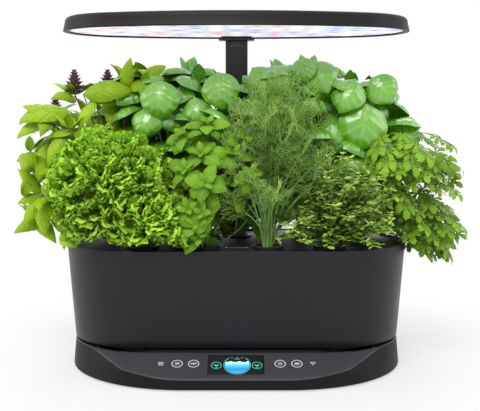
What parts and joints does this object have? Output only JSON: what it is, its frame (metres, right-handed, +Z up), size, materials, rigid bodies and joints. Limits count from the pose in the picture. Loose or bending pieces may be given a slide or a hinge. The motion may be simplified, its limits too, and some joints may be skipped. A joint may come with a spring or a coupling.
{
  "type": "countertop hydroponic garden",
  "caption": "Countertop hydroponic herb garden: base with touch panel, lift-out water bowl with planted grow deck, and an LED hood on a telescoping mast.",
  "frame": {"origin": "on the table, under the middle of the base", "axes": "+X to the right seen from the front, +Y to the back, +Z up"},
  "size_m": [0.572, 0.2877, 0.428],
  "materials": {
    "housing": "satin",
    "cover": "matte",
    "feet": "matte",
    "screws": "satin",
    "window": "gloss",
    "module": "satin",
    "board": "satin",
    "jack": "satin",
    "stator": "satin",
    "mast_tube": "satin",
    "spring": "satin",
    "button": "satin",
    "bowl_shell": "satin",
    "shaft": "polished",
    "pump_body": "satin",
    "filter_foam": "matte",
    "riser": "satin",
    "post": "satin",
    "impeller_plastic": "satin",
    "float_foam": "matte",
    "deck_plate": "matte",
    "basket": "satin",
    "sponge": "matte",
    "thai_leaves": "matte",
    "basil_leaves": "satin",
    "parsley_leaves": "matte",
    "curly_leaves": "matte",
    "mint_leaves": "matte",
    "dill_leaves": "matte",
    "thyme_leaves": "matte",
    "lid": "satin",
    "hood_plastic": "satin",
    "diffuser": "satin",
    "led_board_white": "satin",
    "led": "gloss",
    "bracket": "satin"
  },
  "bodies": {
    "base": {"base_housing": "housing", "base_bottom_cover": "cover", "rubber_feet": "feet", "cover_screws": "screws", "display_window": "window", "display_module": "module", "touch_board": "board", "main_board": "board", "dc_jack": "jack", "pump_stator": "stator", "mast_lower": "mast_tube", "mast_screws": "screws", "button_leaf_spring": "spring"},
    "release_button": {"release_button": "button"},
    "bowl": {"bowl": "bowl_shell", "impeller_shaft": "shaft", "pump_cover": "pump_body", "pump_filter": "filter_foam", "riser_tube": "riser", "float_post": "post"},
    "impeller": {"impeller": "impeller_plastic"},
    "water_float": {"water_float": "float_foam"},
    "deck": {"grow_deck": "deck_plate", "grow_basket_1": "basket", "grow_basket_2": "basket", "grow_basket_3": "basket", "grow_basket_4": "basket", "grow_basket_5": "basket", "grow_basket_6": "basket", "grow_basket_7": "basket", "grow_basket_8": "basket", "grow_basket_9": "basket", "grow_sponge_1": "sponge", "grow_sponge_2": "sponge", "grow_sponge_3": "sponge", "grow_sponge_4": "sponge", "grow_sponge_5": "sponge", "grow_sponge_6": "sponge", "grow_sponge_7": "sponge", "grow_sponge_8": "sponge", "grow_sponge_9": "sponge", "thai_basil": "thai_leaves", "basil_left": "basil_leaves", "basil_centre": "basil_leaves", "basil_right": "basil_leaves", "flat_parsley": "parsley_leaves", "curly_parsley": "curly_leaves", "mint": "mint_leaves", "dill": "dill_leaves", "thyme": "thyme_leaves", "fill_lid_pin": "shaft"},
    "fill_lid": {"fill_lid": "lid"},
    "mast_middle": {"mast_middle": "mast_tube"},
    "hood": {"mast_upper": "mast_tube", "hood_shell": "hood_plastic", "light_panel": "diffuser", "led_board": "led_board_white", "led_chips": "led", "hood_bracket": "bracket", "hood_screws": "screws"}
  },
  "joints": [
    {"name": "button_press", "type": "slide", "parent": "base", "child": "release_button", "axis": [0, 1, 0], "range_m": [0, 0.0012], "stiffness_N_per_m": 1500, "springref_m": -0.0006, "deforming": ["button_leaf_spring"]},
    {"name": "bowl_lift", "type": "slide", "parent": "base", "child": "bowl", "axis": [0, 0, 1], "range_m": [0, 0.012]},
    {"name": "impeller_spin", "type": "hinge", "parent": "bowl", "child": "impeller", "pos_m": [0, 0, 0.045], "axis": [0, 0, 1], "continuous": true},
    {"name": "float_rise", "type": "slide", "parent": "bowl", "child": "water_float", "axis": [0, 0, 1], "range_m": [0, 0.075]},
    {"name": "deck_lift", "type": "slide", "parent": "bowl", "child": "deck", "axis": [0, 0, 1], "range_m": [0, 0.012]},
    {"name": "fill_lid_hinge", "type": "hinge", "parent": "deck", "child": "fill_lid", "pos_m": [0, -0.0704, 0.1516], "axis": [-1, 0, 0], "range_deg": [0, 100]},
    {"name": "mast_lower_slide", "type": "slide", "parent": "base", "child": "mast_middle", "axis": [0, 0, 1], "range_m": [0, 0.21]},
    {"name": "mast_upper_slide", "type": "slide", "parent": "mast_middle", "child": "hood", "axis": [0, 0, 1], "range_m": [0, 0.21]}
  ]
}
